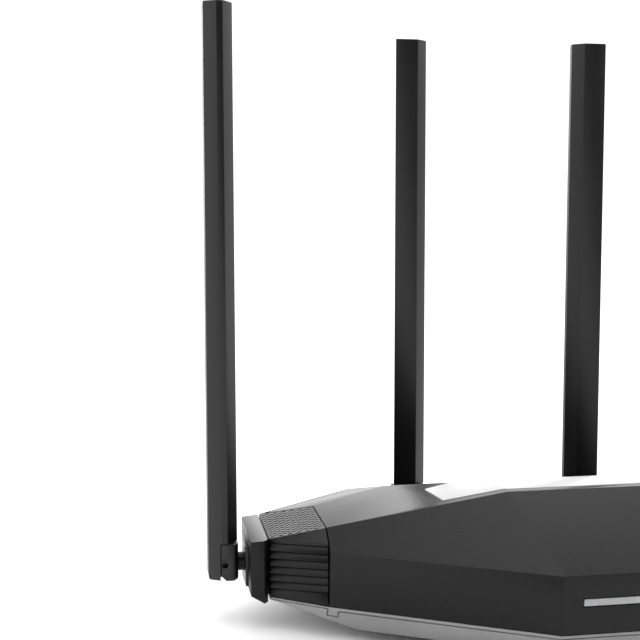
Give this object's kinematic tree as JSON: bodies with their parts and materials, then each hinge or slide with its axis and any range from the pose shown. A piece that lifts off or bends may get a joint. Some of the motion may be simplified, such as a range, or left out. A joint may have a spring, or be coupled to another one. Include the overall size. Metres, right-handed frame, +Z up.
{
  "type": "wireless router",
  "caption": "Faceted desktop wireless router with ribbed end wings, perforated top vents, folding blade antennas and rear network sockets.",
  "frame": {"origin": "bottom centre of the bounding box, on the surface the feet stand on", "axes": "+Z up, +X along the long side to the right when seen from the nose, +Y towards the rear wall with the sockets"},
  "size_m": [0.235, 0.1308, 0.1965],
  "materials": {
    "shell": "fine-grained matte black plastic",
    "base": "matte dark grey plastic",
    "wing": "matte black plastic",
    "antenna": "satin black plastic",
    "gloss": "satin black plastic",
    "insert": "light satin plastic",
    "metal": "plated steel",
    "rubber": "soft matte rubber",
    "port": "black moulded plastic",
    "board": "solder-masked circuit board",
    "lens": "frosted light-pipe plastic"
  },
  "bodies": {
    "housing": {"top_shell": "shell", "end_cap_left": "shell", "end_cap_right": "shell", "base": "base", "crown_insert": "insert", "status_lens": "lens", "main_board": "board", "wing_left": "wing", "wing_right": "wing", "louvre_left": "wing", "louvre_right": "wing", "grille_left": "wing", "grille_right": "wing", "foot_1": "rubber", "foot_2": "rubber", "foot_3": "rubber", "foot_4": "rubber", "base_screw_1": "metal", "base_screw_2": "metal", "base_screw_3": "metal", "base_screw_4": "metal", "antenna_boss_side_left": "gloss", "antenna_boss_side_right": "gloss", "antenna_boss_rear_left": "gloss", "antenna_boss_rear_right": "gloss", "rear_panel": "port", "lan_port_1": "port", "lan_port_2": "port", "lan_port_3": "port", "lan_port_4": "port", "wan_port": "port", "dc_socket": "port"},
    "swivel_side_left": {"antenna_swivel_side_left": "antenna", "antenna_pin_side_left": "metal"},
    "blade_side_left": {"antenna_blade_side_left": "antenna"},
    "swivel_side_right": {"antenna_swivel_side_right": "antenna", "antenna_pin_side_right": "metal"},
    "blade_side_right": {"antenna_blade_side_right": "antenna"},
    "swivel_rear_left": {"antenna_swivel_rear_left": "antenna", "antenna_pin_rear_left": "metal"},
    "blade_rear_left": {"antenna_blade_rear_left": "antenna"},
    "swivel_rear_right": {"antenna_swivel_rear_right": "antenna", "antenna_pin_rear_right": "metal"},
    "blade_rear_right": {"antenna_blade_rear_right": "antenna"},
    "button": {"power_button": "gloss"}
  },
  "joints": [
    {"name": "swivel_side_left", "type": "hinge", "parent": "housing", "child": "swivel_side_left", "pos_m": [-0.105, -0.0037, 0.0185], "axis": [1, 0, 0], "range_deg": [-90, 90]},
    {"name": "fold_side_left", "type": "hinge", "parent": "swivel_side_left", "child": "blade_side_left", "pos_m": [-0.1121, -0.0037, 0.0156], "axis": [0, -1, 0], "range_deg": [0, 90]},
    {"name": "swivel_side_right", "type": "hinge", "parent": "housing", "child": "swivel_side_right", "pos_m": [0.105, -0.0037, 0.0185], "axis": [1, 0, 0], "range_deg": [-90, 90]},
    {"name": "fold_side_right", "type": "hinge", "parent": "swivel_side_right", "child": "blade_side_right", "pos_m": [0.1121, -0.0037, 0.0156], "axis": [0, 1, 0], "range_deg": [0, 90]},
    {"name": "swivel_rear_left", "type": "hinge", "parent": "housing", "child": "swivel_rear_left", "pos_m": [-0.0353, 0.0529, 0.0185], "axis": [0, -1, 0], "range_deg": [-8, 90]},
    {"name": "fold_rear_left", "type": "hinge", "parent": "swivel_rear_left", "child": "blade_rear_left", "pos_m": [-0.0353, 0.06, 0.0156], "axis": [-1, 0, 0], "range_deg": [0, 90]},
    {"name": "swivel_rear_right", "type": "hinge", "parent": "housing", "child": "swivel_rear_right", "pos_m": [0.0353, 0.0529, 0.0185], "axis": [0, 1, 0], "range_deg": [-8, 90]},
    {"name": "fold_rear_right", "type": "hinge", "parent": "swivel_rear_right", "child": "blade_rear_right", "pos_m": [0.0353, 0.06, 0.0156], "axis": [-1, 0, 0], "range_deg": [0, 90]},
    {"name": "button_press", "type": "slide", "parent": "housing", "child": "button", "axis": [0, -1, 0], "range_m": [0, 0.0012], "stiffness_N_per_m": 150}
  ]
}
